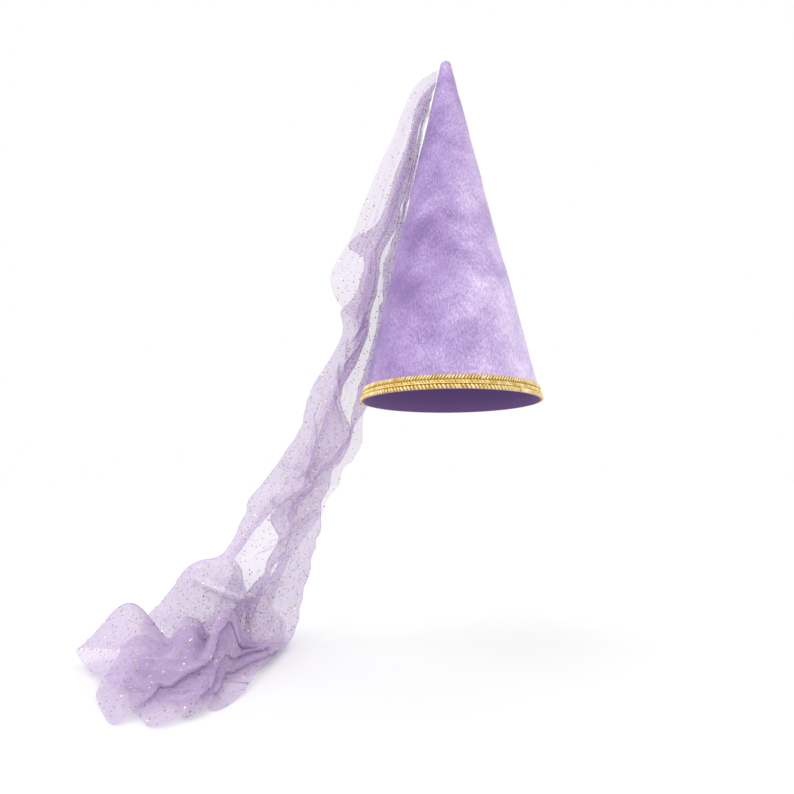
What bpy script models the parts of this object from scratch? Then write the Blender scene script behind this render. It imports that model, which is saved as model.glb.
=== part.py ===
"""A hennin: a tall cone hat of crushed velvet with a gold braid at its rim and a long sheer veil.

Metres, +Z up. The origin is the middle of the rim's opening, where the hat sits on a head, and the
tip points up. The veil hangs from the tip towards -X and ends in a pile 268 mm under the rim.
"""

import math

import bmesh
import bpy
import numpy as np

MM = 0.001
FIT_GAP = 0.3 * MM

# The cone: a stiff base covered with velvet, one wall
RIM_RADIUS = 92.5 * MM
TIP_RADIUS = 6.5 * MM
CONE_HEIGHT = 396 * MM
TIP_ROUNDING = 6.5 * MM
CONE_WALL = 2.2 * MM
CONE_SIDES = 48
CONE_RINGS = 5
ROUNDING_STEPS = 4

# The gold braid: a flat band with two rows of stitches above one row of cord
BAND_HEIGHT = 9.0 * MM
BAND_THICKNESS = 1.5 * MM
BAND_GROOVE = 0.5 * MM
CORD_HEIGHT = 4.4 * MM
CORD_THICKNESS = 2.1 * MM
CORD_SIDES = 8
BRAID_SIDES = 48

# The veil
VEIL_WALL = 1.0 * MM
PANEL_STEPS = (6, 2, 4, 2, 2, 2, 2)
LIFT_PLACE = 0.25
LIFT_SPREAD = 0.19

# Stations down the veil, in mm. Each row of the cloth runs from its left side to its right side, as
# seen from the front; bow pushes the middle of the row forwards, lift raises its left part, gap is the
# distance between one layer of the folded cloth and the next, and rows is the number of rows of faces
# from this station to the next.
STATION_COLUMNS = ("left_x", "left_y", "left_z", "right_x", "right_y", "right_z", "bow", "lift", "gap", "rows")
STATIONS = {
    "seam": (-9.3, 4.5, 386, -19.4, 5, 340, 0, 0, 1.6, 2),
    "shoulder": (-33, 4, 366, -30, 7, 318, 4, 0, 3.0, 2),
    "upper": (-48, 6, 337, -34, 11, 296, 6, 0, 4.0, 2),
    "back_high": (-62, 9, 299, -38, 16, 268, 7, 0, 5.0, 2),
    "back_mid": (-75, 12, 262, -43, 20, 240, 5, 0, 5.5, 3),
    "back_low": (-92, 17, 217, -46, 26, 205, 2, 0, 6.0, 3),
    "tuck_top": (-112, 22, 181, -53, 30, 168, 2, 0, 6.0, 1),
    "tuck_low": (-120, 23, 168, -56, 32, 156, 4, 0, 6.0, 2),
    "bulge": (-132, 24, 138, -61, 36, 125, 9, 0, 6.0, 2),
    "bulge_low": (-130, 28, 112, -66, 39, 104, 6, 0, 5.5, 2),
    "notch": (-119, 30, 89, -72, 42, 84, 2, 0, 5.0, 4),
    "rim": (-153, 37, 18, -88, 52, 12, 6, 0, 5.5, 3),
    "flap": (-169, 44, -26, -92, 60, -36, 9, 0, 6.0, 2),
    "flap_end": (-188, 50, -58, -107, 64, -64, 8, 0, 6.0, 1),
    "flap_step": (-195, 53, -67, -118, 65, -71, 8, 0, 5.5, 1),
    "knot": (-211, 57, -88, -123, 66, -90, 10, 0, 5.5, 2),
    "waist": (-231, 64, -120, -141, 69, -117, 8, 0, 5.0, 2),
    "flare_top": (-252, 73, -156, -144, 74, -148, 12, 0, 4.5, 3),
    "flare": (-302, 84, -184, -153, 85, -180, 20, 0, 4.0, 3),
    "flare_low": (-332, 96, -224, -165, 98, -224, 18, 0, 3.4, 3),
    "touch": (-346, 92, -246, -172, 94, -247, 10, 0, 2.4, 3),
    "valley": (-358, 76, -259, -178, 79, -260, 4, 0, 1.9, 3),
    "rise": (-375, 50, -261, -182, 60, -259, 0, 15, 1.9, 4),
    "crest": (-386, 27, -266, -184, 42, -256, 2, 52, 2.3, 4),
    "over": (-375, -2, -264, -187, 12, -257, 10, 32, 2.3, 2),
    "spread": (-345, -24, -261, -190, -17, -260, 22, 8, 2.2, 2),
    "front": (-324, -46, -260.5, -197, -46, -260.5, 34, 0, 2.2, 2),
    "hem": (-319, -64, -260.5, -205, -76, -260.5, 46, 0, 2.2, 0),
}

# Where the cloth turns back on itself, as a share of the row from left to right. The first and last
# columns are the two selvedges, and the folds between them lie in turn on the right and on the left.
FOLD_COLUMNS = ("selvedge_front", "right_1", "left_1", "right_2", "left_2", "right_3", "left_3", "selvedge_back")
FOLDS = {
    "seam": (0.00, 0.50, 0.30, 0.75, 0.58, 0.95, 0.78, 1.00),
    "shoulder": (0.00, 0.60, 0.30, 0.80, 0.55, 0.96, 0.74, 1.00),
    "back_high": (0.00, 0.55, 0.22, 0.80, 0.45, 1.00, 0.74, 0.97),
    "back_low": (0.00, 0.50, 0.28, 0.75, 0.42, 0.95, 0.70, 1.00),
    "tuck_top": (0.00, 0.55, 0.03, 0.62, 0.48, 0.95, 0.72, 1.00),
    "tuck_low": (0.00, 0.60, 0.44, 0.66, 0.49, 0.96, 0.75, 1.00),
    "bulge": (0.00, 0.68, 0.46, 0.72, 0.52, 1.00, 0.84, 0.97),
    "notch": (0.02, 0.60, 0.00, 0.64, 0.12, 1.00, 0.82, 0.96),
    "rim": (0.16, 0.50, 0.00, 0.54, 0.38, 1.00, 0.82, 0.98),
    "flap": (0.20, 0.36, 0.00, 0.78, 0.22, 0.76, 0.62, 1.00),
    "knot": (0.30, 0.70, 0.00, 0.72, 0.45, 0.88, 0.55, 1.00),
    "flare_top": (0.15, 0.28, 0.00, 0.62, 0.48, 1.00, 0.55, 0.98),
    "flare": (0.53, 0.62, 0.00, 0.80, 0.68, 1.00, 0.85, 0.96),
    "flare_low": (0.30, 0.55, 0.02, 0.70, 0.60, 1.00, 0.85, 0.97),
    "touch": (0.30, 0.55, 0.00, 0.75, 0.60, 0.98, 0.82, 1.00),
    "crest": (0.00, 0.60, 0.50, 0.85, 0.65, 0.95, 0.75, 1.00),
    "spread": (0.08, 0.60, 0.40, 0.80, 0.60, 0.95, 0.70, 1.00),
    "hem": (0.00, 0.55, 0.30, 0.75, 0.45, 0.90, 0.65, 1.00),
}


def clear_scene():
    for item in list(bpy.data.objects):
        bpy.data.objects.remove(item, do_unlink=True)


def finish(name, bm, colour, roughness, metallic=0.0, alpha=1.0):
    """Turns a bmesh into a named object with its own material."""
    mesh = bpy.data.meshes.new(name)
    bm.to_mesh(mesh)
    bm.free()
    piece = bpy.data.objects.new(name, mesh)
    bpy.context.scene.collection.objects.link(piece)
    material = bpy.data.materials.new(name)
    material.use_nodes = True
    shader = material.node_tree.nodes["Principled BSDF"]
    shader.inputs["Base Color"].default_value = (*colour, 1.0)
    shader.inputs["Roughness"].default_value = roughness
    shader.inputs["Metallic"].default_value = metallic
    shader.inputs["Alpha"].default_value = alpha
    mesh.materials.append(material)
    mesh.shade_smooth()
    return piece


def spin_profile(points, sides):
    """Turns a profile of (radius, height) points about the Z axis; points on the axis close the ends."""
    bm = bmesh.new()
    corners = [bm.verts.new((radius, 0.0, height)) for radius, height in points]
    edges = [bm.edges.new(pair) for pair in zip(corners, corners[1:])]
    if points[0][0] > 0.0:
        edges.append(bm.edges.new((corners[-1], corners[0])))
    bmesh.ops.spin(
        bm, geom=corners + edges, axis=(0, 0, 1), cent=(0, 0, 0), angle=math.tau, steps=sides, use_merge=True
    )
    bmesh.ops.remove_doubles(bm, verts=bm.verts, dist=0.01 * MM)
    bmesh.ops.dissolve_degenerate(bm, edges=bm.edges, dist=0.001 * MM)
    bmesh.ops.recalc_face_normals(bm, faces=bm.faces)
    if bm.calc_volume(signed=True) < 0:
        bmesh.ops.reverse_faces(bm, faces=bm.faces)
    return bm


def cone_radius(height):
    """Outer radius of the cone at a height above the rim."""
    return RIM_RADIUS + (TIP_RADIUS - RIM_RADIUS) * height / (CONE_HEIGHT - TIP_ROUNDING)


def make_cone():
    slope = math.atan2(RIM_RADIUS - TIP_RADIUS, CONE_HEIGHT - TIP_ROUNDING)
    straight_top = CONE_HEIGHT - TIP_ROUNDING
    outer = []
    for ring in range(CONE_RINGS + 1):
        height = straight_top * ring / CONE_RINGS
        outer.append((cone_radius(height), height))
    for step in range(1, ROUNDING_STEPS + 1):
        angle = math.pi / 2 * step / ROUNDING_STEPS
        outer.append((TIP_RADIUS * math.cos(angle), straight_top + TIP_ROUNDING * math.sin(angle)))
    outer[-1] = (0.0, CONE_HEIGHT)
    thickness_across = CONE_WALL / math.cos(slope)
    inner = []
    for ring in range(CONE_RINGS + 1):
        height = straight_top * ring / CONE_RINGS
        inner.append((cone_radius(height) - thickness_across, height))
    inner.append((0.0, CONE_HEIGHT - 2 * CONE_WALL))
    bm = spin_profile(list(reversed(outer)) + inner, CONE_SIDES)
    return finish("cone_crown", bm, (0.50, 0.36, 0.66), 0.75)


def lean_outwards(points, base=0.0):
    """Places points given as (distance from the velvet, height) on the slanted face of the cone."""
    return [(cone_radius(base + up) + FIT_GAP + out, base + up) for out, up in points]


def make_braid_band():
    base = CORD_HEIGHT + FIT_GAP
    half = BAND_HEIGHT / 2
    quarter = BAND_HEIGHT / 4
    shallow = BAND_THICKNESS * 0.45
    section = [
        (0.0, 0.0),
        (shallow, 0.0),
        (BAND_THICKNESS, quarter),
        (BAND_THICKNESS - BAND_GROOVE, half),
        (BAND_THICKNESS, half + quarter),
        (shallow, BAND_HEIGHT),
        (0.0, BAND_HEIGHT),
    ]
    bm = spin_profile(lean_outwards(section, base), BRAID_SIDES)
    return finish("braid_band", bm, (0.62, 0.42, 0.13), 0.35, metallic=0.8)


def make_braid_cord():
    section = []
    for step in range(CORD_SIDES):
        angle = math.tau * (step + 0.5) / CORD_SIDES
        out = CORD_THICKNESS / 2 * (1 + math.cos(angle))
        up = CORD_HEIGHT / 2 * (1 + math.sin(angle))
        section.append((out, up))
    bm = spin_profile(lean_outwards(section), BRAID_SIDES)
    return finish("braid_cord", bm, (0.62, 0.42, 0.13), 0.35, metallic=0.8)


def smooth_through(places, values, wanted):
    """Monotone cubic curve through the values, so that nothing swings past them."""
    places = np.asarray(places, float)
    values = np.asarray(values, float)
    steps = np.diff(places)
    slopes = np.diff(values, axis=0) / steps[:, None]
    tangents = np.zeros_like(values)
    tangents[0] = slopes[0]
    tangents[-1] = slopes[-1]
    before, after = slopes[:-1], slopes[1:]
    weight_a = (2 * steps[1:] + steps[:-1])[:, None]
    weight_b = (steps[1:] + 2 * steps[:-1])[:, None]
    same_way = before * after > 0
    safe_before = np.where(same_way, before, 1.0)
    safe_after = np.where(same_way, after, 1.0)
    mean = (weight_a + weight_b) / (weight_a / safe_before + weight_b / safe_after)
    tangents[1:-1] = np.where(same_way, mean, 0.0)
    found = np.clip(np.searchsorted(places, wanted, side="right") - 1, 0, len(steps) - 1)
    span = steps[found][:, None]
    t = ((wanted - places[found]) / steps[found])[:, None]
    return (
        values[found] * (1 + 2 * t) * (1 - t) ** 2
        + tangents[found] * span * t * (1 - t) ** 2
        + values[found + 1] * t * t * (3 - 2 * t)
        + tangents[found + 1] * span * t * t * (t - 1)
    )


def column(stations, name):
    return stations[..., STATION_COLUMNS.index(name)]


def station_places():
    """Distance down the veil to each station, along the middle of the cloth."""
    table = np.array(list(STATIONS.values()), float)
    middles = (table[:, 0:3] + table[:, 3:6]) / 2
    middles[:, 1] -= column(table, "bow")
    lengths = np.linalg.norm(np.diff(middles, axis=0), axis=1)
    return np.concatenate([[0.0], np.cumsum(lengths)])


def row_places(places):
    """Distances down the veil at which a row of the mesh lies: every station and rows between them."""
    counts = column(np.array(list(STATIONS.values()), int), "rows")
    rows = []
    for start, end, count in zip(places, places[1:], counts):
        rows.extend(np.linspace(start, end, count, endpoint=False))
    return np.array(rows + [places[-1]])


def guide_point(station, share):
    """A point of the smooth sheet that the folds lie around, at a share of the way across the row."""
    left, right = station[..., 0:3], station[..., 3:6]
    point = left + (right - left) * share[..., None]
    point[..., 1] -= column(station, "bow") * (1 - (2 * share - 1) ** 2)
    point[..., 2] += column(station, "lift") * np.exp(-(((share - LIFT_PLACE) / LIFT_SPREAD) ** 2))
    return point


def folded_row(folds, gap, width):
    """Shares across the row and depths behind its guide for one row of the folded cloth."""
    half_turn = gap / 2
    last_panel = len(PANEL_STEPS) - 1
    shares = [folds[0]]
    depths = [0.0]
    for panel, steps in enumerate(PANEL_STEPS):
        rightwards = 1 if panel % 2 == 0 else -1
        inset = rightwards * half_turn / width
        first = folds[panel] if panel == 0 else folds[panel] + inset
        last = folds[panel + 1] if panel == last_panel else folds[panel + 1] - inset
        depth = panel * gap
        if panel > 0:
            shares.append(first)
            depths.append(depth)
        for step in range(1, steps + 1):
            shares.append(first + (last - first) * step / steps)
            depths.append(depth)
        if panel < last_panel:
            shares.append(folds[panel + 1])
            depths.append(depth + half_turn)
    return np.array(shares), np.array(depths) - last_panel * gap / 2


def make_veil():
    places = station_places()
    wanted = row_places(places)
    stations = smooth_through(places, list(STATIONS.values()), wanted)
    names = list(STATIONS)
    fold_places = [places[names.index(name)] for name in FOLDS]
    folds = smooth_through(fold_places, list(FOLDS.values()), wanted)
    rows = len(wanted)
    row_vectors = stations[:, 3:6] - stations[:, 0:3]
    widths = np.linalg.norm(row_vectors, axis=1)
    folded = [folded_row(f, column(s, "gap"), w) for f, s, w in zip(folds, stations, widths)]
    shares = np.array([row[0] for row in folded])
    depths = np.array([row[1] for row in folded])

    guide = guide_point(stations[:, None, :], shares)
    down = np.empty_like(guide)
    for i in range(shares.shape[1]):
        held = np.repeat(shares[:, i : i + 1], rows, axis=1)
        sheet = guide_point(stations[None, :, :], held)
        down[:, i] = np.gradient(sheet, wanted, axis=1)[np.arange(rows), np.arange(rows)]
    behind = np.cross(row_vectors[:, None, :], down)
    behind /= np.linalg.norm(behind, axis=2)[..., None]
    points = (guide + behind * depths[..., None]) * MM

    bm = bmesh.new()
    grid = [[bm.verts.new(point) for point in row] for row in points]
    for upper, lower in zip(grid, grid[1:]):
        for i in range(len(upper) - 1):
            bm.faces.new((upper[i], lower[i], lower[i + 1], upper[i + 1]))
    veil = finish("veil", bm, (0.50, 0.36, 0.66), 0.6, alpha=0.5)
    wall = veil.modifiers.new("wall", "SOLIDIFY")
    wall.thickness = VEIL_WALL
    wall.offset = 0.0
    return veil


def main():
    clear_scene()
    make_cone()
    make_braid_band()
    make_braid_cord()
    make_veil()


main()
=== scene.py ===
"""A tall velvet cone hat with a gold braid rim and a long sheer veil."""

import math

import bmesh
import bpy
import numpy as np
from bpy.props import FloatProperty, FloatVectorProperty, PointerProperty
from mathutils import Matrix, Vector


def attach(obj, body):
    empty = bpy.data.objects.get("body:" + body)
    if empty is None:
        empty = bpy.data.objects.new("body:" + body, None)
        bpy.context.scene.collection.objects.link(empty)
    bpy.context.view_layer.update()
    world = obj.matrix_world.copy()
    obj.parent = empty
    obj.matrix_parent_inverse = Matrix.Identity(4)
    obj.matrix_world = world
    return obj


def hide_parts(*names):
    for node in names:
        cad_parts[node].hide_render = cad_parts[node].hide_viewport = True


bl_info = {
    "name": "Hennin Cone Hat",
    "version": (1, 0, 0),
    "blender": (4, 5, 0),
    "location": "3D Viewport > Sidebar > Hennin",
    "description": "Builds a velvet cone hat with a gold braid rim and a long sheer veil",
    "category": "Add Mesh",
}

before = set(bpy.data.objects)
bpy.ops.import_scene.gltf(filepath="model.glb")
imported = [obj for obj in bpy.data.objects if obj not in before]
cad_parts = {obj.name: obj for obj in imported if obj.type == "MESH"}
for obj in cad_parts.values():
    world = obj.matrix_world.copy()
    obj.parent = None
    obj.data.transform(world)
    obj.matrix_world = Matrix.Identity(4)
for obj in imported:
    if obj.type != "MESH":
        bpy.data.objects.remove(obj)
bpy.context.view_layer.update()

MM = 0.001
FIT_GAP = 0.3 * MM

# Cone: it narrows evenly from the rim to a rounded tip.
RIM_RADIUS = 92.5 * MM
TIP_RADIUS = 6.5 * MM
CONE_HEIGHT = 396 * MM
TIP_ROUNDING = 6.5 * MM
CONE_WALL = 2.2 * MM
CONE_SIDES = 180
CONE_RINGS = 110
INNER_RINGS = 30
ROUNDING_STEPS = 8
CONE_SLOPE = math.atan2(RIM_RADIUS - TIP_RADIUS, CONE_HEIGHT - TIP_ROUNDING)
# Heights between which the dents fade in above the braid.
SMOOTH_RIM = (14 * MM, 45 * MM)

# Braid: a band of slanted stitches over two fine cords, and a row of fat stitches below it.
BAND_BASE = 4.7 * MM
BAND_HEIGHT = 9.0 * MM
CORD_HEIGHT = 4.4 * MM
TOP_STITCHES = 196
LOW_STITCHES = 160

# Veil, in millimetres. Each row gives the two ends of one line across the hanging cloth, from the
# gathered seam to the lowest edge: bow is how far its middle stands towards the viewer, lift how far
# the cloth rises over a fold, and gap how far apart its layers lie.
LIFT_PLACE = 0.25
LIFT_SPREAD = 0.19
# Raised petals of the pile: place and spread as shares of a row, and height.
LOBES = ((0.57, 0.085, 36.0), (0.75, 0.068, 46.0))
# How much of the petals' height each row has.
LOBE_ROWS = {"rise": 0.3, "crest": 1.0, "over": 0.5}
STATION_COLUMNS = ("left_x", "left_y", "left_z", "right_x", "right_y", "right_z", "bow", "lift", "gap", "lobes")
STATIONS = {
    "seam": (-9.3, 4.5, 386, -19.4, 5, 340, 0, 0, 1.6),
    "shoulder": (-33, 4, 366, -27, 7, 318, 4, 0, 3.0),
    "upper": (-48, 6, 337, -31, 11, 296, 6, 0, 4.0),
    "back_high": (-63, 9, 299, -35, 17, 268, 7, 0, 5.0),
    "back_mid": (-80, 12, 262, -40, 21, 240, 5, 0, 5.5),
    "back_low": (-98, 17, 217, -45, 26, 205, 2, 0, 6.0),
    "tuck_top": (-112, 22, 181, -53, 30, 168, 2, 0, 6.0),
    "tuck_low": (-120, 23, 168, -56, 32, 156, 4, 0, 6.0),
    "bulge": (-132, 24, 138, -61, 36, 125, 9, 0, 6.0),
    "bulge_low": (-130, 28, 112, -66, 39, 104, 6, 0, 5.5),
    "notch": (-119, 30, 89, -72, 42, 84, 2, 0, 5.0),
    "rim": (-153, 37, 18, -88, 52, 12, 6, 0, 5.5),
    "flap": (-169, 44, -26, -92, 60, -36, 9, 0, 6.0),
    "flap_end": (-188, 50, -58, -107, 64, -64, 8, 0, 6.0),
    "flap_step": (-195, 53, -67, -118, 65, -71, 8, 0, 5.5),
    "knot": (-211, 57, -88, -123, 66, -90, 10, 0, 5.5),
    "waist": (-231, 64, -120, -141, 69, -117, 8, 0, 5.0),
    "flare_top": (-252, 73, -156, -144, 74, -148, 12, 0, 4.5),
    "flare": (-302, 84, -184, -153, 85, -180, 20, 0, 4.0),
    "flare_low": (-332, 96, -224, -165, 98, -224, 18, 0, 3.4),
    "touch": (-346, 92, -246, -172, 94, -247, 10, 0, 2.4),
    "valley": (-358, 76, -259, -178, 79, -260, 4, 0, 1.9),
    "rise": (-375, 50, -261, -182, 60, -259, 0, 15, 1.9),
    "crest": (-386, 27, -255, -184, 42, -256, 2, 55, 2.3),
    "over": (-358, -4, -263, -187, 12, -257, 10, 32, 2.3),
    "spread": (-333, -26, -261, -190, -17, -260, 22, 10, 2.2),
    "front": (-319, -58, -261, -191, -42, -261, 36, 2, 2.0),
    "hem": (-302, -84, -262, -190, -64, -262, 48, 0, 1.8),
}

# Where the cloth turns back on itself, as a share of the row from left to right, from one selvedge
# to the other.
FOLDS = {
    "seam": (0.00, 0.50, 0.30, 0.75, 0.58, 0.95, 0.78, 1.00),
    "shoulder": (0.00, 0.70, 0.42, 0.85, 0.60, 0.96, 0.80, 1.00),
    "back_high": (0.00, 0.72, 0.50, 0.86, 0.62, 1.00, 0.84, 0.97),
    "back_low": (0.00, 0.64, 0.42, 0.78, 0.57, 0.95, 0.82, 1.00),
    "tuck_top": (0.00, 0.55, 0.03, 0.62, 0.48, 0.95, 0.72, 1.00),
    "tuck_low": (0.00, 0.60, 0.44, 0.66, 0.49, 0.96, 0.75, 1.00),
    "bulge": (0.00, 0.68, 0.46, 0.72, 0.52, 1.00, 0.84, 0.97),
    "notch": (0.30, 0.60, 0.00, 0.64, 0.38, 1.00, 0.82, 0.96),
    "rim": (0.26, 0.50, 0.00, 0.54, 0.40, 1.00, 0.82, 0.98),
    "flap": (0.20, 0.34, 0.00, 0.78, 0.32, 0.80, 0.74, 1.00),
    "knot": (0.30, 0.60, 0.00, 0.70, 0.54, 0.86, 0.66, 1.00),
    "waist": (0.19, 0.30, 0.00, 0.64, 0.34, 0.94, 0.55, 0.99),
    "flare_top": (0.12, 0.21, 0.00, 0.70, 0.58, 1.00, 0.68, 0.84),
    "flare": (0.44, 0.52, 0.00, 0.74, 0.66, 1.00, 0.70, 0.80),
    "flare_low": (0.44, 0.63, 0.02, 0.70, 0.57, 1.00, 0.66, 0.80),
    "touch": (0.36, 0.62, 0.00, 0.74, 0.56, 0.98, 0.68, 0.92),
    "crest": (0.00, 0.90, 0.86, 0.95, 0.92, 0.98, 0.95, 1.00),
    "over": (0.00, 0.77, 0.28, 0.85, 0.50, 0.93, 0.67, 1.00),
    "spread": (0.00, 0.69, 0.05, 0.79, 0.24, 0.84, 0.50, 1.00),
    "front": (0.00, 0.44, 0.32, 0.78, 0.60, 0.82, 0.77, 1.00),
    "hem": (0.00, 0.42, 0.36, 0.82, 0.66, 0.88, 0.80, 1.00),
}
# Sharp creases: share and place of each end, then how high and how wide they stand, in millimetres.
CREASES = (
    (0.10, "flare", 2.0, 0.70, "flare_low", -8.0, 7.0, 2.6),
    (0.95, "waist", -6.0, 0.40, "flare_top", 14.0, 6.0, 3.0),
    (0.20, "flap", 0.0, 0.62, "flap_end", 10.0, 5.0, 3.0),
    (0.15, "rim", -40.0, 0.55, "rim", 8.0, 5.0, 3.0),
    (0.60, "bulge_low", 0.0, 0.20, "notch", 20.0, 5.0, 3.0),
    (0.10, "notch", 10.0, 0.45, "rim", -20.0, 4.0, 2.2),
    (0.55, "notch", 0.0, 0.30, "rim", -30.0, 4.0, 2.2),
    (0.30, "rim", -10.0, 0.65, "flap", -10.0, 4.0, 2.2),
    (0.10, "rim", 20.0, 0.35, "flap_end", -20.0, 4.0, 2.5),
    (0.65, "flap", 5.0, 0.40, "knot", -5.0, 4.5, 2.2),
    (0.35, "flap_end", 0.0, 0.75, "knot", 0.0, 4.5, 2.2),
    (0.20, "knot", 0.0, 0.50, "waist", -5.0, 4.0, 2.2),
    (0.75, "knot", 5.0, 0.45, "waist", 0.0, 4.0, 2.2),
)
PANEL_STEPS = (40, 24, 34, 22, 26, 22, 26)
TURN_STEPS = 5
VEIL_ROWS = 425
# The veil's assumed cut is a taper, as wide at its ends as the first and last rows of the folded sheet.
# It is a guess: the photo doesn't show the cut, and some rows in the pile unroll wider than it.
PLEATS = 30
# Width of the even grid that the weave and the pleats are laid out on, in millimetres. It isn't the cut's width.
MAP_WIDTH = 430.0
# The cut edge: how far above it the cloth is drawn up, and half the depth of its scallops, in millimetres.
TRIM_REACH = 110.0
SCALLOP = 26.0
FLOOR_HEIGHT = -268 * MM
CLOTH_LOWEST = FLOOR_HEIGHT + 0.5 * MM

# Camera: its sensor and lens in millimetres, its place, and its turn up from straight down.
SENSOR_WIDTH = 36.0
LENS = 550 / 794 * SENSOR_WIDTH
CAMERA_PLACE = (-0.056, -0.571, -0.078)
CAMERA_TILT = math.radians(98.36)


def colour(hex_code, alpha=1.0):
    """A linear colour from sRGB hex digits."""
    shares = [int(hex_code[i : i + 2], 16) / 255 for i in (0, 2, 4)]
    linear = [c / 12.92 if c <= 0.04045 else ((c + 0.055) / 1.055) ** 2.4 for c in shares]
    return (*linear, alpha)


def add(tree, kind, links=None, stops=None, **settings):
    """Adds a shader node: its settings, its inputs as values or other outputs, a ramp's (place, colour) stops."""
    node = tree.nodes.new("ShaderNode" + kind)
    for name, value in settings.items():
        setattr(node, name, value)
    for place, value in (stops or [])[2:]:
        node.color_ramp.elements.new(place)
    for element, (place, value) in zip(node.color_ramp.elements if stops else [], stops or []):
        element.position = place
        element.color = value
    for name, value in (links or {}).items():
        if isinstance(value, bpy.types.NodeSocket):
            tree.links.new(value, node.inputs[name])
        else:
            node.inputs[name].default_value = value
    return node


def new_material(name):
    """An empty node material with its principled shader."""
    material = bpy.data.materials.new(name)
    material.use_nodes = True
    tree = material.node_tree
    return material, tree, tree.nodes["Principled BSDF"]


def finish(name, bm, materials, node):
    """Turns a bmesh into a smooth piece that stands for a CAD node."""
    mesh = bpy.data.meshes.new(name)
    bm.to_mesh(mesh)
    bm.free()
    for material in materials:
        mesh.materials.append(material)
    mesh.shade_smooth()
    piece = bpy.data.objects.new(name, mesh)
    bpy.context.scene.collection.objects.link(piece)
    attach(piece, "root")
    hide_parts(node)
    return piece


def add_copies(bm, shape, places):
    """Adds one copy of a small bmesh at each place, a matrix, and frees it."""
    mesh = bpy.data.meshes.new("shape")
    shape.to_mesh(mesh)
    shape.free()
    for place in places:
        copy = mesh.copy()
        copy.transform(place)
        bm.from_mesh(copy)
        bpy.data.meshes.remove(copy)
    bpy.data.meshes.remove(mesh)


def smoothstep(low, high, value):
    share = np.clip((value - low) / (high - low), 0.0, 1.0)
    return share * share * (3 - 2 * share)


def field(points, size, seed):
    """Smooth random values from -1 to 1 over space, with swells of about the given size."""
    points = np.asarray(points, float) / size
    cell = np.floor(points)
    part = points - cell
    part = part**3 * (part * (part * 6 - 15) + 10)
    dimensions = points.shape[-1]
    total = np.zeros(points.shape[:-1])
    for corner in np.ndindex(*(2,) * dimensions):
        corner = np.array(corner)
        key = (cell + corner) @ np.array([12.9898, 78.233, 37.719][:dimensions]) + seed * 3.71
        value = np.sin(key) * 43758.5453
        value = (value - np.floor(value)) * 2 - 1
        weight = np.prod(np.where(corner, part, 1 - part), axis=-1)
        total += value * weight
    return total


# Cone


def cone_radius(height):
    """Outer radius of the cone at a height above the rim."""
    return RIM_RADIUS + (TIP_RADIUS - RIM_RADIUS) * height / (CONE_HEIGHT - TIP_ROUNDING)


def spin_profile(points, sides):
    """Turns a profile of (radius, height) points about the Z axis."""
    bm = bmesh.new()
    corners = [bm.verts.new((radius, 0.0, height)) for radius, height in points]
    edges = [bm.edges.new(pair) for pair in zip(corners, corners[1:])]
    if points[0][0] > 0.0:
        edges.append(bm.edges.new((corners[-1], corners[0])))
    bmesh.ops.spin(
        bm, geom=corners + edges, axis=(0, 0, 1), cent=(0, 0, 0), angle=math.tau, steps=sides, use_merge=True
    )
    bmesh.ops.remove_doubles(bm, verts=bm.verts, dist=0.01 * MM)
    bmesh.ops.dissolve_degenerate(bm, edges=bm.edges, dist=0.001 * MM)
    bmesh.ops.recalc_face_normals(bm, faces=bm.faces)
    if bm.calc_volume(signed=True) < 0:
        bmesh.ops.reverse_faces(bm, faces=bm.faces)
    return bm


def lay_flat_map(bm):
    """UV map of the cone's face rolled out flat, in metres, cut where the hat's seam runs under the veil."""
    apex = RIM_RADIUS / math.tan(CONE_SLOPE)
    layer = bm.loops.layers.uv.new("flat")
    for face in bm.faces:
        centre = face.calc_center_median()
        middle = math.atan2(-centre.x, -centre.y)
        if middle > math.pi / 2:
            middle -= math.tau
        for loop in face.loops:
            point = loop.vert.co
            angle = math.atan2(-point.x, -point.y) if point.xy.length > 1e-6 else middle
            angle += math.tau * round((middle - angle) / math.tau)
            away = (apex - point.z) / math.cos(CONE_SLOPE)
            turn = angle * math.sin(CONE_SLOPE)
            loop[layer].uv = (away * math.sin(turn), -away * math.cos(turn))


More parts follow.
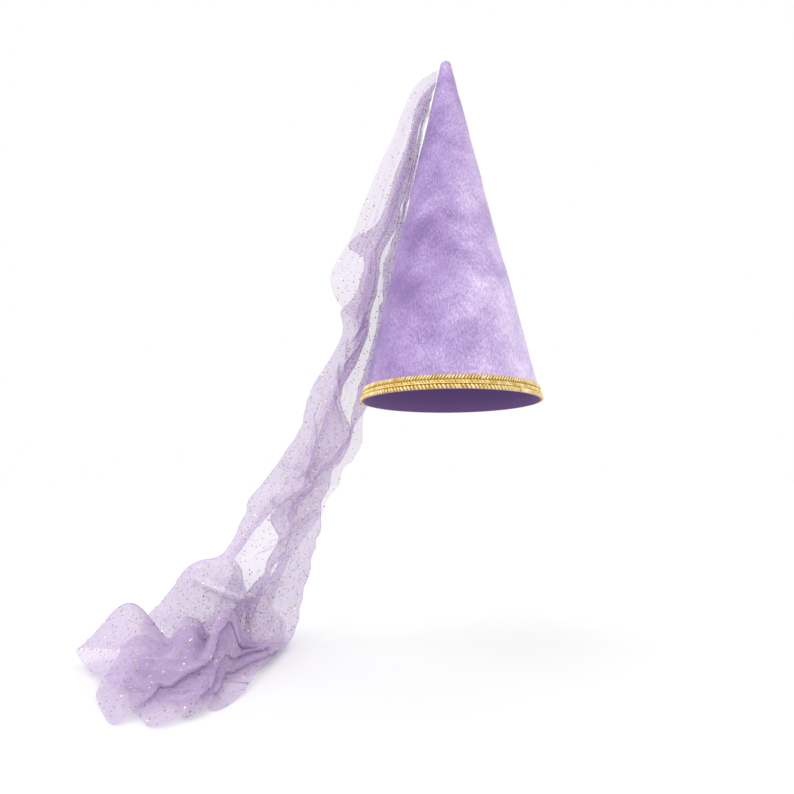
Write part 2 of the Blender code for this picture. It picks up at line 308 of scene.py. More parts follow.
def velvet():
    """Crushed panne velvet: pile pressed flat in many directions, so patches catch the light in turn."""
    settings = bpy.context.scene.hennin_cone
    material, tree, shader = new_material("crushed_panne_velvet")
    flat = add(tree, "UVMap", uv_map="flat").outputs["UV"]
    # Patches 15 to 40 mm across in which the pile was pressed one way.
    patches = add(tree, "TexNoise", {"Vector": flat, "Scale": 26.0, "Detail": 4.0, "Roughness": 0.6, "Distortion": 0.3})
    broad = add(tree, "TexNoise", {"Vector": flat, "Scale": 10.0, "Detail": 1.0})
    # Brushed tufts about 1.5 mm wide and 4 mm long lie one of two ways.
    lean = add(tree, "Mapping", {"Vector": flat, "Rotation": (0.0, 0.0, 0.45), "Scale": (1.0, 0.4, 1.0)}).outputs[0]
    cross = add(tree, "Mapping", {"Vector": flat, "Rotation": (0.0, 0.0, -0.8), "Scale": (1.0, 0.4, 1.0)}).outputs[0]
    tufts_a = add(tree, "TexNoise", {"Vector": lean, "Scale": 560.0, "Detail": 2.0, "Roughness": 0.6}).outputs["Fac"]
    tufts_b = add(tree, "TexNoise", {"Vector": cross, "Scale": 560.0, "Detail": 2.0, "Roughness": 0.6}).outputs["Fac"]
    either = [(0.45, colour("000000")), (0.55, colour("FFFFFF"))]
    way = add(tree, "ValToRGB", {"Fac": patches.outputs["Fac"]}, either).outputs["Color"]
    tufts = add(tree, "Mix", {"Factor": way, "A": tufts_a, "B": tufts_b}, data_type="FLOAT").outputs[0]
    # The pile itself is 0.1 mm thick, and its grain is drawn 1 mm wide so that it shows.
    grain = add(tree, "TexNoise", {"Vector": flat, "Scale": 950.0, "Detail": 1.0, "Roughness": 0.5})
    mixed = add(tree, "Math", {0: patches.outputs["Fac"], 1: 0.9}, operation="MULTIPLY").outputs[0]
    mixed = add(tree, "Math", {0: tufts, 1: 0.75, 2: mixed}, operation="MULTIPLY_ADD").outputs[0]
    mixed = add(tree, "Math", {0: grain.outputs["Fac"], 1: 0.7, 2: mixed}, operation="MULTIPLY_ADD").outputs[0]
    mixed = add(tree, "Math", {0: broad.outputs["Fac"], 1: 0.6, 2: mixed}, operation="MULTIPLY_ADD").outputs[0]
    tone = add(tree, "MapRange", {"Value": mixed, "From Min": 1.15, "From Max": 1.91}).outputs[0]
    # Painted light: painted shade darkens the side towards the veil and painted sheen lightens the side away from it;
    # the colour is also darker round the tip.
    pressed = add(tree, "Attribute", attribute_name="pressed").outputs["Fac"]
    painted_light_shift = add(tree, "MapRange", {"Value": pressed, "To Min": 0.40, "To Max": -0.36}).outputs[0]
    tone = add(tree, "Math", {0: tone, 1: painted_light_shift}, operation="ADD").outputs[0]
    dark, middle, light = (tuple(settings.shade), tuple(settings.colour), tuple(settings.shine))
    shade = add(tree, "ValToRGB", {"Fac": tone}, [(0.0, dark), (0.5, middle), (1.0, light)]).outputs["Color"]
    tree.links.new(shade, shader.inputs["Base Color"])
    shader.inputs["Roughness"].default_value = 0.72
    shader.inputs["Specular IOR Level"].default_value = 0.35
    shader.inputs["Sheen Weight"].default_value = 0.35
    shader.inputs["Sheen Roughness"].default_value = 0.45
    shader.inputs["Sheen Tint"].default_value = colour("E6D8F6")
    raised = add(tree, "Math", {0: tufts, 1: 0.5, 2: mixed}, operation="MULTIPLY_ADD").outputs[0]
    bump = add(tree, "Bump", {"Height": raised, "Strength": 0.5, "Distance": 0.0012})
    tree.links.new(bump.outputs["Normal"], shader.inputs["Normal"])
    return material


def shaded_lining():
    """Purple cotton over buckram inside the cone: plain, flat and darker than the velvet; that darkness is painted
    shade of the hat's inside and the rim's underside.
    """
    material, tree, shader = new_material("cotton_lining_painted_shade")
    flat = add(tree, "UVMap", uv_map="flat").outputs["UV"]
    # The buckram's threads lie 1 mm apart.
    weave = add(tree, "TexNoise", {"Vector": flat, "Scale": 900.0, "Detail": 1.0})
    stops = [(0.3, colour("5B3F74")), (0.7, colour("7A5C96"))]
    shade = add(tree, "ValToRGB", {"Fac": weave.outputs["Fac"]}, stops).outputs["Color"]
    tree.links.new(shade, shader.inputs["Base Color"])
    shader.inputs["Roughness"].default_value = 0.85
    bump = add(tree, "Bump", {"Height": weave.outputs["Fac"], "Strength": 0.4, "Distance": 0.0004})
    tree.links.new(bump.outputs["Normal"], shader.inputs["Normal"])
    return material


def make_cone():
    settings = bpy.context.scene.hennin_cone
    straight_top = CONE_HEIGHT - TIP_ROUNDING
    across = CONE_WALL / math.cos(CONE_SLOPE)
    soft_edge = 0.6 * MM
    outer = [(RIM_RADIUS - soft_edge, 0.0), (RIM_RADIUS, soft_edge)]
    for ring in range(1, CONE_RINGS + 1):
        height = straight_top * ring / CONE_RINGS
        outer.append((cone_radius(height), height))
    for step in range(1, ROUNDING_STEPS + 1):
        angle = math.pi / 2 * step / ROUNDING_STEPS
        outer.append((TIP_RADIUS * math.cos(angle), straight_top + TIP_ROUNDING * math.sin(angle)))
    outer[-1] = (0.0, CONE_HEIGHT)
    inner = [(RIM_RADIUS - across + soft_edge, 0.0), (RIM_RADIUS - across, soft_edge)]
    for ring in range(1, INNER_RINGS + 1):
        height = straight_top * ring / INNER_RINGS
        inner.append((cone_radius(height) - across, height))
    inner.append((0.0, CONE_HEIGHT - 2 * CONE_WALL))
    bm = spin_profile(list(reversed(outer)) + inner, CONE_SIDES)
    lay_flat_map(bm)
    points = np.array([v.co for v in bm.verts])
    swell = field(points, 0.055, 3) + 0.5 * field(points, 0.021, 4)
    # Soft dents press the wall inwards, and fade out under the braid.
    dents = -settings.dent_depth * smoothstep(-0.2, 0.9, swell) * smoothstep(*SMOOTH_RIM, points[:, 2])
    radii = np.linalg.norm(points[:, :2], axis=1)
    dented = np.where(radii > 1e-5, (radii + dents) / np.maximum(radii, 1e-5), 1.0)
    for vert, share in zip(bm.verts, dented):
        vert.co.x *= share
        vert.co.y *= share
    # Faces inside the cone and on the rim's underside get the dark lining, as painted shade.
    for face in bm.faces:
        centre = face.calc_center_median()
        inner_face = cone_radius(centre.z) - across * 0.6 - settings.dent_depth * 0.4
        lined = centre.z < 0.1 * MM or (centre.z < straight_top and centre.xy.length < inner_face)
        face.material_index = 1 if lined else 0
    # Weights for the painted shade towards the veil, the painted sheen away from it, and the darker tip.
    painted_shade_side = np.minimum(0.5 - 0.5 * points[:, 0] / np.maximum(radii, 1e-5), 0.86)
    round_tip = smoothstep(0.7 * CONE_HEIGHT, 0.98 * CONE_HEIGHT, points[:, 2])
    cone = finish("velvet_cone", bm, [velvet(), shaded_lining()], "cone_crown")
    pressed = cone.data.attributes.new("pressed", "FLOAT", "POINT")
    pressed.data.foreach_set("value", np.maximum(painted_shade_side, 0.66 * round_tip))
    return cone


# Braid


def gold_thread():
    """Metallised gimp thread: gold film wound on a cotton core, bright on the crowns and brown between."""
    settings = bpy.context.scene.hennin_braid
    material, tree, shader = new_material("metallised_gimp_thread")
    place = add(tree, "TexCoord").outputs["Object"]
    # The film is wound in turns 0.3 mm wide, drawn 0.9 mm wide so that they show.
    turns = add(tree, "TexNoise", {"Vector": place, "Scale": 1100.0, "Detail": 1.0})
    patchy = add(tree, "TexNoise", {"Vector": place, "Scale": 130.0, "Detail": 2.0})
    parts = {0: turns.outputs["Fac"], 1: 0.6, 2: patchy.outputs["Fac"]}
    mixed = add(tree, "Math", parts, operation="MULTIPLY_ADD").outputs[0]
    stops = [(0.55, colour("D9B564")), (0.8, tuple(settings.colour)), (1.0, colour("FFF3CC"))]
    shade = add(tree, "ValToRGB", {"Fac": mixed}, stops).outputs["Color"]
    tree.links.new(shade, shader.inputs["Base Color"])
    shader.inputs["Metallic"].default_value = 0.7
    shader.inputs["Roughness"].default_value = 0.42
    bump = add(tree, "Bump", {"Height": turns.outputs["Fac"], "Strength": 0.5, "Distance": 0.0003})
    tree.links.new(bump.outputs["Normal"], shader.inputs["Normal"])
    return material


def shaded_braid_tape():
    """Cotton tape under the stitches: mustard brown, only seen as the dark lines between them, where its darkness is
    painted shade in the grooves.
    """
    material, tree, shader = new_material("cotton_tape_painted_shade")
    place = add(tree, "TexCoord").outputs["Object"]
    # Its threads lie 0.4 mm apart, drawn 1 mm apart.
    weave = add(tree, "TexNoise", {"Vector": place, "Scale": 1000.0, "Detail": 1.0}).outputs["Fac"]
    shade = add(tree, "ValToRGB", {"Fac": weave}, [(0.3, colour("A67F36")), (0.7, colour("C09A4A"))]).outputs["Color"]
    tree.links.new(shade, shader.inputs["Base Color"])
    shader.inputs["Roughness"].default_value = 0.8
    return material


def on_rim(angle, out, up):
    """A point over the slanted face of the cone and the axes there: along the rim, up the face, outwards."""
    radius = cone_radius(up) + FIT_GAP + out
    outwards = Vector((math.cos(angle), math.sin(angle), 0.0))
    along = Vector((-math.sin(angle), math.cos(angle), 0.0))
    upwards = (Vector((0, 0, math.cos(CONE_SLOPE))) - outwards * math.sin(CONE_SLOPE)).normalized()
    return outwards * radius + Vector((0, 0, up)), along, upwards, along.cross(upwards)


def add_stitches(bm, count, up, out, length, width, thickness, tilt, seed):
    """A ring of slanted oval stitches; tilt is the lean of each from upright."""
    random = np.random.default_rng(seed)
    places = []
    for index in range(count):
        turn, grow, bend = random.normal(0, 1, 3)
        angle = math.tau * (index + 0.06 * turn) / count
        centre, along, upwards, outwards = on_rim(angle, out, up)
        axes = Matrix((along, -outwards, upwards)).transposed().to_4x4()
        lean = Matrix.Rotation(tilt * (1 + 0.08 * bend), 4, "Y")
        size = Matrix.Diagonal((width / 2 * (1 + 0.05 * grow), thickness / 2, length / 2 * (1 + 0.05 * bend), 1.0))
        places.append(Matrix.Translation(centre) @ axes @ lean @ size)
    oval = bmesh.new()
    bmesh.ops.create_uvsphere(oval, u_segments=8, v_segments=5, radius=1.0)
    add_copies(bm, oval, places)


def add_ring(bm, up, out, radius, twists, depth, sides, turns=8):
    """A twisted fine cord round the rim."""
    section = []
    for step in range(turns):
        angle = math.tau * step / turns
        section.append((out + radius * math.cos(angle), up + radius * math.sin(angle)))
    ring = spin_profile([(cone_radius(u) + FIT_GAP + o, u) for o, u in section], sides)
    middle = cone_radius(up) + FIT_GAP + out
    for vert in ring.verts:
        around = math.atan2(vert.co.y, vert.co.x)
        reach = vert.co.xy.length
        turn = math.atan2(vert.co.z - up, reach - middle)
        grow = 1 + depth * math.sin(twists * around + 2 * turn)
        wanted = middle + (reach - middle) * grow
        vert.co.x *= wanted / reach
        vert.co.y *= wanted / reach
        vert.co.z = up + (vert.co.z - up) * grow
    add_copies(bm, ring, [Matrix()])


def add_tape(bm, low, high, thickness, sides=96):
    """The woven tape that the stitches are worked over."""
    corners = [(0.0, low), (thickness, low + 0.3 * MM), (thickness, high - 0.3 * MM), (0.0, high)]
    tape = spin_profile([(cone_radius(up) + FIT_GAP + out, up) for out, up in corners], sides)
    add_copies(bm, tape, [Matrix()])
    # The tape's dark colour shows between the stitches as painted shade.
    for face in bm.faces:
        face.material_index = 1


def make_braid_band():
    bm = bmesh.new()
    top = BAND_BASE + BAND_HEIGHT
    add_tape(bm, BAND_BASE - 0.1 * MM, top - 0.6 * MM, 0.35 * MM)
    add_stitches(bm, TOP_STITCHES, top - 2.4 * MM, 0.85 * MM, 5.8 * MM, 1.8 * MM, 1.9 * MM, math.radians(36), 11)
    add_stitches(bm, TOP_STITCHES, BAND_BASE + 2.3 * MM, 0.6 * MM, 4.4 * MM, 1.7 * MM, 1.7 * MM, math.radians(-56), 13)
    add_ring(bm, BAND_BASE + 0.75 * MM, 0.7 * MM, 0.7 * MM, 196, 0.16, 784)
    return finish("gimp_band", bm, [gold_thread(), shaded_braid_tape()], "braid_band")


def make_braid_cord():
    bm = bmesh.new()
    add_tape(bm, 0.2 * MM, CORD_HEIGHT + 0.1 * MM, 0.35 * MM)
    add_stitches(bm, LOW_STITCHES, CORD_HEIGHT / 2, 1.05 * MM, 5.4 * MM, 2.8 * MM, 2.5 * MM, math.radians(-36), 12)
    return finish("gimp_cord", bm, [gold_thread(), shaded_braid_tape()], "braid_cord")


# Veil


def smooth_through(places, values, wanted):
    """Monotone cubic curve through the values, so that nothing swings past them."""
    places = np.asarray(places, float)
    values = np.asarray(values, float)
    steps = np.diff(places)
    slopes = np.diff(values, axis=0) / steps[:, None]
    tangents = np.zeros_like(values)
    tangents[0] = slopes[0]
    tangents[-1] = slopes[-1]
    before, after = slopes[:-1], slopes[1:]
    weight_a = (2 * steps[1:] + steps[:-1])[:, None]
    weight_b = (steps[1:] + 2 * steps[:-1])[:, None]
    same_way = before * after > 0
    safe_before = np.where(same_way, before, 1.0)
    safe_after = np.where(same_way, after, 1.0)
    mean = (weight_a + weight_b) / (weight_a / safe_before + weight_b / safe_after)
    tangents[1:-1] = np.where(same_way, mean, 0.0)
    found = np.clip(np.searchsorted(places, wanted, side="right") - 1, 0, len(steps) - 1)
    span = steps[found][:, None]
    t = ((wanted - places[found]) / steps[found])[:, None]
    return (
        values[found] * (1 + 2 * t) * (1 - t) ** 2
        + tangents[found] * span * t * (1 - t) ** 2
        + values[found + 1] * t * t * (3 - 2 * t)
        + tangents[found + 1] * span * t * t * (t - 1)
    )


def column(stations, name):
    return stations[..., STATION_COLUMNS.index(name)]


def station_places():
    """Distance down the veil to each station, along the middle of the cloth, in millimetres."""
    table = np.array([(*row, 0.0) for row in STATIONS.values()], float)
    middles = (table[:, 0:3] + table[:, 3:6]) / 2
    middles[:, 1] -= column(table, "bow")
    lengths = np.linalg.norm(np.diff(middles, axis=0), axis=1)
    return np.concatenate([[0.0], np.cumsum(lengths)])


def guide_point(station, share):
    """A point of the smooth sheet that the folds lie around, at a share of the way across the row."""
    left, right = station[..., 0:3], station[..., 3:6]
    point = left + (right - left) * share[..., None]
    point[..., 1] -= column(station, "bow") * (1 - (2 * share - 1) ** 2)
    point[..., 2] += column(station, "lift") * np.exp(-(((share - LIFT_PLACE) / LIFT_SPREAD) ** 2))
    for place, spread, height in LOBES:
        point[..., 2] += column(station, "lobes") * height * np.exp(-(((share - place) / spread) ** 4))
    return point


def folded_row(folds, gap, width):
    """Shares across the row and depths behind its guide for one row of the folded cloth, with round turns."""
    half_turn = gap / 2
    last_panel = len(PANEL_STEPS) - 1
    shares, depths, inner = [], [], []
    for panel, steps in enumerate(PANEL_STEPS):
        rightwards = 1 if panel % 2 == 0 else -1
        inset = rightwards * half_turn / width
        first = folds[panel] if panel == 0 else folds[panel] + inset
        last = folds[panel + 1] if panel == last_panel else folds[panel + 1] - inset
        for step in range(steps + 1):
            shares.append(first + (last - first) * step / steps)
            depths.append(panel * gap)
            inner.append(math.sin(math.pi * step / steps))
        if panel < last_panel:
            for step in range(1, TURN_STEPS + 1):
                angle = math.pi * (step / (TURN_STEPS + 1) - 0.5)
                shares.append(last + inset * math.cos(angle))
                depths.append(panel * gap + half_turn * (1 + math.sin(angle)))
                inner.append(0.0)
    return np.array(shares), np.array(depths) - last_panel * gap / 2, np.array(inner)


def settle(shares, folds, gap):
    """How far each point of the laid cloth drops because fewer layers than elsewhere lie under it."""
    drop = np.zeros(shares.shape)
    last_panel = len(PANEL_STEPS) - 1
    for panel in range(1, last_panel + 1):
        left = np.minimum(folds[:, panel], folds[:, panel + 1])[:, None]
        right = np.maximum(folds[:, panel], folds[:, panel + 1])[:, None]
        outside = np.maximum(np.maximum(left - shares, shares - right), 0.0)
        missing = smoothstep(0.0, 0.15, outside) * gap
        first = sum(PANEL_STEPS[:panel]) + panel + TURN_STEPS * panel - TURN_STEPS
        drop[:, :first] += missing[:, :first]
    return drop


def trim(strip, places, cut):
    """Shortens one column of points by cut, drawing its last part up evenly."""
    start = places[-1] - TRIM_REACH
    moved = np.where(places > start, start + (places - start) * (TRIM_REACH - cut) / TRIM_REACH, places)
    for axis in range(3):
        strip[:, axis] = np.interp(moved, places, strip[:, axis])


def veil_points():
    """The veil's points in metres as rows and columns, and its distances down and across the flat cloth."""
    settings = bpy.context.scene.hennin_veil
    places = station_places()
    wanted = np.linspace(places[0], places[-1], VEIL_ROWS)
    names = list(STATIONS)
    table = np.array([(*row, LOBE_ROWS.get(name, 0.0)) for name, row in STATIONS.items()], float)
    fold_places = [places[names.index(name)] for name in FOLDS]
    stations = smooth_through(places, table, wanted)
    folds = smooth_through(fold_places, list(FOLDS.values()), wanted)
    # The turns wander a little as they run down the cloth.
    for turn in range(1, 7):
        along = np.stack([wanted, np.full(VEIL_ROWS, 90.0 * turn)], axis=1)
        folds[:, turn] += 0.035 * field(along, 34.0, 41) + 0.018 * field(along, 12.0, 42)
    folds = np.clip(folds, 0.0, 1.0)
    for edge, seed in ((0, 51), (3, 52)):
        for axis in (0, 2):
            sway = field(np.stack([wanted, np.full(VEIL_ROWS, 40.0 * axis)], axis=1), 21.0, seed)
            free = smoothstep(330.0, 420.0, wanted) * (1 - smoothstep(690.0, 760.0, wanted))
            stations[:, edge + axis] += sway * 2.2 * free
    row_vectors = stations[:, 3:6] - stations[:, 0:3]
    widths = np.linalg.norm(row_vectors, axis=1)
    folded = [folded_row(f, column(s, "gap"), w) for f, s, w in zip(folds, stations, widths)]
    shares, depths, inner = (np.array([row[part] for row in folded]) for part in range(3))
    guide = guide_point(stations[:, None, :], shares)
    reach = 2.0
    ahead = smooth_through(places, table, np.minimum(wanted + reach, places[-1]))
    back = smooth_through(places, table, np.maximum(wanted - reach, 0.0))
    down = guide_point(ahead[:, None, :], shares) - guide_point(back[:, None, :], shares)
    behind = np.cross(row_vectors[:, None, :], down)
    behind /= np.linalg.norm(behind, axis=2)[..., None]
    gap = column(stations, "gap")[:, None]

    # Pleats run down the cloth from the gathered seam and wander as they open out.
    columns = shares.shape[1]
    across = np.linspace(0.0, 1.0, columns)[None, :] * np.ones((VEIL_ROWS, 1))
    down_mm = np.repeat(wanted[:, None], columns, axis=1)
    flat = np.stack([across * MAP_WIDTH, down_mm], axis=2)
    stretched = flat * np.array([1.0, 0.28])
    wander = field(stretched, 34.0, 21) * 2.4
    strength = 0.35 + 0.65 * smoothstep(-0.6, 0.5, field(stretched, 26.0, 22))
    pleats = np.sin(math.tau * PLEATS * across + wander) * strength
    hanging = 1 - smoothstep(640.0, 730.0, down_mm)
    pleats *= inner * gap * (0.04 + 0.19 * (1 - smoothstep(60.0, 330.0, down_mm)))
    loose = field(stretched, 24.0, 23) * inner * gap * 0.2
    # A web of thin crinkles, each a short ridge with steep sides.
    web = np.abs(field(flat * np.array([1.0, 0.55]), 30.0, 24)) + 0.35 * np.abs(field(flat, 13.0, 25))
    crinkled = smoothstep(230.0, 330.0, down_mm) * (1 - smoothstep(470.0, 570.0, down_mm))
    spacing = np.abs(np.gradient(shares, axis=1)) * widths[:, None] / (flat[0, 1, 0] - flat[0, 0, 0])
    slack = np.clip(spacing, 0, 1)
    loose = loose * slack + np.clip(1 - web * 3.0, 0, 1) ** 2 * 0.6 * gap * crinkled * inner * slack
    laid = smoothstep(places[names.index("touch")], places[names.index("rise")], down_mm)
    depths += settle(shares, folds, gap) * laid
    points = (guide + behind * (depths + pleats + loose)[..., None]) * MM

    creases = np.zeros(shares.shape)
    for share_a, name_a, add_a, share_b, name_b, add_b, height, width in CREASES:
        start = np.array([share_a * 110.0, places[names.index(name_a)] + add_a])
        end = np.array([share_b * 110.0, places[names.index(name_b)] + add_b])
        offset = np.stack([shares * 110.0, down_mm], axis=2) - start
        run = (end - start) / np.linalg.norm(end - start)
        along = offset @ run / np.linalg.norm(end - start)
        aside = offset @ np.array([-run[1], run[0]])
        taper = smoothstep(0.0, 0.25, along) * (1 - smoothstep(0.75, 1.0, along))
        creases += height * taper * np.exp(-((aside / width) ** 2))
    points -= behind * (creases * MM)[..., None]

    # Swells that every layer follows together.
    held = smoothstep(5.0, 90.0, down_mm)
    swells = field(points, 0.060, 31) * 3.6 + field(points, 0.026, 32) * 1.5
    points += behind * (swells * settings.crumple * held * hanging * MM)[..., None]
    # Long low folds cross the pile from side to side.
    drawn = points * np.array([0.30, 1.0, 0.6])
    ridges = 1 - np.abs(field(drawn, 0.016, 33)) * 1.7
    low = np.clip(ridges, 0, 1) ** 1.3 * 4.5 + (1 + field(points, 0.05, 34)) * 3.0
    low *= 0.2 + 0.8 * smoothstep(0.0, 0.3, shares)
    past_crest = smoothstep(places[names.index("crest")], places[names.index("over")], down_mm)
    at_edge = 1 - smoothstep(places[-1] - 34.0, places[-1] - 4.0, down_mm)
    points[..., 2] += low * settings.crumple * past_crest * at_edge * MM
    points[..., 2] = np.maximum(points[..., 2], CLOTH_LOWEST)

    # The cut edge is scalloped: every second layer, and the cloth at each turn, stops short of the front.
    first = 0
    for panel, steps in enumerate(PANEL_STEPS):
        share = np.arange(steps + 1) / steps
        short = SCALLOP + SCALLOP * (-1 if panel % 2 == 0 else 1) * np.sin(math.pi * share) ** 0.8
        for step, cut in enumerate(short):
            trim(points[:, first + step], wanted, cut)
        first += steps + 1
        if panel < len(PANEL_STEPS) - 1:
            for step in range(TURN_STEPS):
                trim(points[:, first + step], wanted, SCALLOP)
            first += TURN_STEPS
    return points, flat * MM


def organza():
    """Glitter organza: crisp sheer cloth of fine filaments, denser where it is seen edge on or lies in layers."""
    settings = bpy.context.scene.hennin_veil
    material, tree, shader = new_material("sheer_organza")
    flat = add(tree, "UVMap", uv_map="cloth").outputs["UV"]
    shader.inputs["Base Color"].default_value = tuple(settings.colour)
    shader.inputs["Roughness"].default_value = 0.42
    shader.inputs["Specular IOR Level"].default_value = 0.3
    shader.inputs["Sheen Weight"].default_value = 0.15
    shader.inputs["Sheen Roughness"].default_value = 0.4
    # Threads lie 0.2 mm apart; streaks 4 mm wide stand for where they bunch.
    drawn = add(tree, "Mapping", {"Vector": flat, "Scale": (1.0, 0.12, 1.0)}).outputs[0]
    streaks = add(tree, "TexNoise", {"Vector": drawn, "Scale": 240.0, "Detail": 2.0, "Roughness": 0.6}).outputs["Fac"]
    spread = {"From Min": 0.25, "From Max": 0.75, "To Min": 0.69, "To Max": 0.63}
    cover = add(tree, "MapRange", {"Value": streaks, **spread})
    facing = add(tree, "LayerWeight", {"Blend": 0.5}).outputs["Facing"]
    # The way through the cloth grows as it turns edge on.
    open_share = add(tree, "Math", {0: 1.10, 1: facing}, operation="SUBTRACT").outputs[0]
    layers = add(tree, "Math", {0: 1.0, 1: open_share}, operation="DIVIDE").outputs[0]
    seen = add(tree, "Math", {0: cover.outputs[0], 1: layers}, operation="POWER").outputs[0]
    solid = add(tree, "Math", {0: 1.0, 1: seen}, operation="SUBTRACT").outputs[0]
    tree.links.new(solid, shader.inputs["Alpha"])
    return material


def make_veil():
    points, flat = veil_points()
    rows, columns = points.shape[:2]
    index = np.arange(rows * columns).reshape(rows, columns)
    corners = np.stack([index[:-1, :-1], index[1:, :-1], index[1:, 1:], index[:-1, 1:]], axis=2).reshape(-1, 4)
    mesh = bpy.data.meshes.new("organza_veil")
    mesh.from_pydata(points.reshape(-1, 3).tolist(), [], corners.tolist())
    layer = mesh.uv_layers.new(name="cloth")
    layer.data.foreach_set("uv", flat.reshape(-1, 2)[corners.ravel()].ravel())
    mesh.materials.append(organza())
    mesh.shade_smooth()
    veil = bpy.data.objects.new("organza_veil", mesh)
    bpy.context.scene.collection.objects.link(veil)
    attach(veil, "root")
    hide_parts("veil")
    return veil


def flake_finish():
    """Polyester glitter: small metallised flakes, some brown and some pale gold; the random tone per flake, up to near
    white, is partly painted glint standing for each flake's tilt.
    """
    material, tree, shader = new_material("metallised_glitter")
    tone = add(tree, "Attribute", attribute_name="flake_tone").outputs["Fac"]
    stops = [(0.0, colour("AD8979")), (0.55, colour("D6B5A0")), (1.0, colour("FFF3DC"))]
    shade = add(tree, "ValToRGB", {"Fac": tone}, stops).outputs["Color"]
    tree.links.new(shade, shader.inputs["Base Color"])
    shader.inputs["Metallic"].default_value = 1.0
    shader.inputs["Roughness"].default_value = 0.22
    return material


def make_glitter():
    settings = bpy.context.scene.hennin_veil
    points, flat = veil_points()
    random = np.random.default_rng(5)
    rows, columns = points.shape[:2]
    # The chance of a flake follows the real area of each patch of the cloth.
    side = points[:-1, 1:] - points[:-1, :-1]
    length = points[1:, :-1] - points[:-1, :-1]
    area = np.linalg.norm(np.cross(side, length), axis=2)
    count = int(area.sum() / settings.glitter_spacing**2)
    edges = np.cumsum(area.ravel())
    step = edges[-1] / count
    picks = np.searchsorted(edges, (np.arange(count) + random.uniform(0, 1, count)) * step)
    picks = np.clip(picks, 0, area.size - 1)
    row, place = np.divmod(picks, columns - 1)
    share = random.uniform(0, 1, (count, 2))
    centres = points[row, place] + side[row, place] * share[:, :1] + length[row, place] * share[:, 1:]
    facing = np.cross(side[row, place], length[row, place])
    facing /= np.maximum(np.linalg.norm(facing, axis=1), 1e-12)[:, None]
    facing += random.normal(0, 0.22, (count, 3))
    facing /= np.linalg.norm(facing, axis=1)[:, None]
    front = np.where(facing[:, 1:2] > 0, -facing, facing)
    sideways = np.cross(front, [0.3, 0.2, 1.0])
    sideways /= np.linalg.norm(sideways, axis=1)[:, None]
    upwards = np.cross(front, sideways)
    radius = settings.flake_width / 2 * random.uniform(0.75, 1.25, count)
    centres = centres + front * (0.35 * MM)
    places = []
    for flake in range(count):
        axes = Matrix((sideways[flake], upwards[flake], front[flake])).transposed().to_4x4()
        turn = Matrix.Rotation(random.uniform(0, 1), 4, "Z")
        places.append(Matrix.Translation(centres[flake]) @ axes @ turn @ Matrix.Scale(radius[flake], 4))
    flat_flake = bmesh.new()
    bmesh.ops.create_circle(flat_flake, cap_ends=True, segments=6, radius=1.0)
    bm = bmesh.new()
    add_copies(bm, flat_flake, places)
    for vert in bm.verts:
        vert.co.z = max(vert.co.z, FLOOR_HEIGHT + 0.1 * MM)
    mesh = bpy.data.meshes.new("veil_glitter")
    bm.to_mesh(mesh)
    bm.free()
    # Each flake gets a random tone from brown to near white, partly painted glint.
    glint_tones = mesh.attributes.new("flake_tone", "FLOAT", "POINT")
    glint_tones.data.foreach_set("value", np.repeat(random.uniform(0, 1, count) ** 1.3, 6))
    mesh.materials.append(flake_finish())
    glitter = bpy.data.objects.new("veil_glitter", mesh)
    bpy.context.scene.collection.objects.link(glitter)
    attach(glitter, "root")
    return glitter


# Stage


def make_stage():
    settings = bpy.context.scene.hennin_stage
    bm = bmesh.new()
    bmesh.ops.create_grid(bm, x_segments=1, y_segments=1, size=14.0, matrix=Matrix.Translation((0, 0, FLOOR_HEIGHT)))
    mesh = bpy.data.meshes.new("floor")
    bm.to_mesh(mesh)
    bm.free()
    material, tree, shader = new_material("pale_table_paper")
    shader.inputs["Base Color"].default_value = tuple(settings.floor)
    shader.inputs["Roughness"].default_value = 0.9
    shader.inputs["Specular IOR Level"].default_value = 0.1
    mesh.materials.append(material)
    floor = bpy.data.objects.new("floor", mesh)
    bpy.context.scene.collection.objects.link(floor)

    world = bpy.data.worlds.new("studio")
    bpy.context.scene.world = world
    world.use_nodes = True
    background = world.node_tree.nodes["Background"]
    background.inputs["Color"].default_value = colour("FFFFFF")
    background.inputs["Strength"].default_value = settings.surround
    sun = bpy.data.lights.new("soft_key", "SUN")
    sun.energy = settings.key
    sun.angle = math.radians(50)
    lamp = bpy.data.objects.new("soft_key", sun)
    lamp.rotation_euler = Vector((0.55, 0.5, -0.8)).to_track_quat("-Z", "Y").to_euler()
    bpy.context.scene.collection.objects.link(lamp)

    camera = bpy.data.cameras.new("camera")
    camera.sensor_width = SENSOR_WIDTH
    camera.lens = LENS
    camera.clip_start = 0.01
    holder = bpy.data.objects.new("camera", camera)
    holder.location = CAMERA_PLACE
    holder.rotation_euler = (CAMERA_TILT, 0.0, 0.0)
    bpy.context.scene.collection.objects.link(holder)
    bpy.context.scene.camera = holder
    bpy.context.scene.view_settings.view_transform = "Standard"
    bpy.context.scene.cycles.transparent_max_bounces = 32


# Add-on


class ConeSettings(bpy.types.PropertyGroup):
    colour: FloatVectorProperty(
        name="Velvet", description="Colour of the pile", subtype="COLOR", size=4, default=colour("B69CD0")
    )
    shade: FloatVectorProperty(
        name="Shade", description="Colour where the pile turns away", subtype="COLOR", size=4, default=colour("8468A2")
    )
    shine: FloatVectorProperty(
        name="Shine", description="Colour where the pile lies flat", subtype="COLOR", size=4, default=colour("EEDFFB")
    )
    dent_depth: FloatProperty(
        name="Dent Depth", description="How deep the soft dents in the cone are", default=0.9 * MM, unit="LENGTH"
    )


class BraidSettings(bpy.types.PropertyGroup):
    colour: FloatVectorProperty(
        name="Gold", description="Colour of the metallic thread", subtype="COLOR", size=4, default=colour("F3D98C")
    )


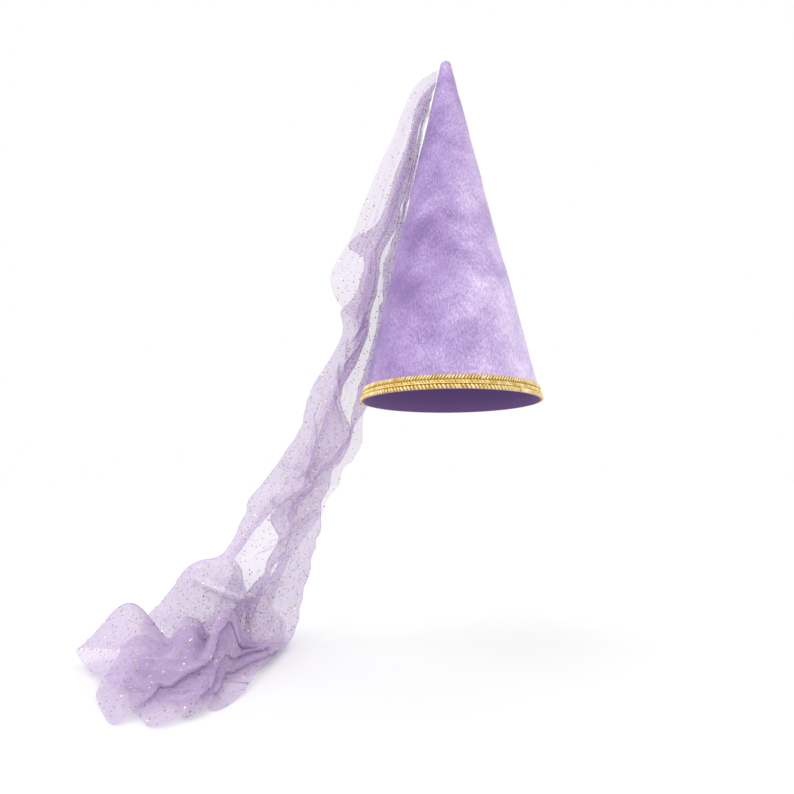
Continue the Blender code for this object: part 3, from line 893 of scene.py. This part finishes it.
class VeilSettings(bpy.types.PropertyGroup):
    colour: FloatVectorProperty(
        name="Organza", description="Colour of the cloth", subtype="COLOR", size=4, default=colour("CAB3DC")
    )
    crumple: FloatProperty(name="Crumple", description="How crumpled the cloth is", default=1.0, min=0.0, max=2.0)
    glitter_spacing: FloatProperty(
        name="Glitter Spacing", description="Distance between flakes", default=6.0 * MM, unit="LENGTH"
    )
    flake_width: FloatProperty(
        name="Flake Width", description="Width of a glitter flake", default=1.35 * MM, unit="LENGTH"
    )


class StageSettings(bpy.types.PropertyGroup):
    floor: FloatVectorProperty(
        name="Floor", description="Colour of the floor", subtype="COLOR", size=4, default=colour("F4F4F4")
    )
    surround: FloatProperty(name="Surround", description="Brightness of the white surround", default=1.0)
    key: FloatProperty(name="Key Light", description="Strength of the soft key light", default=0.9)


class HENNIN_OT_cone(bpy.types.Operator):
    """Build the velvet cone"""

    bl_idname = "hennin.cone"
    bl_label = "Cone"

    def execute(self, context):
        make_cone()
        return {"FINISHED"}


class HENNIN_OT_braid(bpy.types.Operator):
    """Build the gold braid round the rim"""

    bl_idname = "hennin.braid"
    bl_label = "Braid"

    def execute(self, context):
        make_braid_band()
        make_braid_cord()
        return {"FINISHED"}


class HENNIN_OT_veil(bpy.types.Operator):
    """Build the sheer veil and its glitter"""

    bl_idname = "hennin.veil"
    bl_label = "Veil"

    def execute(self, context):
        make_veil()
        make_glitter()
        return {"FINISHED"}


class HENNIN_OT_stage(bpy.types.Operator):
    """Set up the floor, light and camera"""

    bl_idname = "hennin.stage"
    bl_label = "Stage"

    def execute(self, context):
        make_stage()
        return {"FINISHED"}


class HENNIN_PT_panel(bpy.types.Panel):
    bl_label = "Hennin Cone Hat"
    bl_idname = "HENNIN_PT_panel"
    bl_space_type = "VIEW_3D"
    bl_region_type = "UI"
    bl_category = "Hennin"

    def draw(self, context):
        groups = (
            ("hennin_cone", "hennin.cone"),
            ("hennin_braid", "hennin.braid"),
            ("hennin_veil", "hennin.veil"),
            ("hennin_stage", "hennin.stage"),
        )
        for group, operator in groups:
            box = self.layout.box()
            settings = getattr(context.scene, group)
            for name in settings.__annotations__:
                box.prop(settings, name)
            box.operator(operator)


SETTINGS = {
    "hennin_cone": ConeSettings,
    "hennin_braid": BraidSettings,
    "hennin_veil": VeilSettings,
    "hennin_stage": StageSettings,
}
CLASSES = (*SETTINGS.values(), HENNIN_OT_cone, HENNIN_OT_braid, HENNIN_OT_veil, HENNIN_OT_stage, HENNIN_PT_panel)


def register():
    for item in CLASSES:
        bpy.utils.register_class(item)
    for name, group in SETTINGS.items():
        setattr(bpy.types.Scene, name, PointerProperty(type=group))


def unregister():
    for name in SETTINGS:
        delattr(bpy.types.Scene, name)
    for item in reversed(CLASSES):
        bpy.utils.unregister_class(item)


def main():
    register()
    bpy.ops.hennin.cone()
    bpy.ops.hennin.braid()
    bpy.ops.hennin.veil()
    bpy.ops.hennin.stage()


if __name__ == "__main__":
    main()
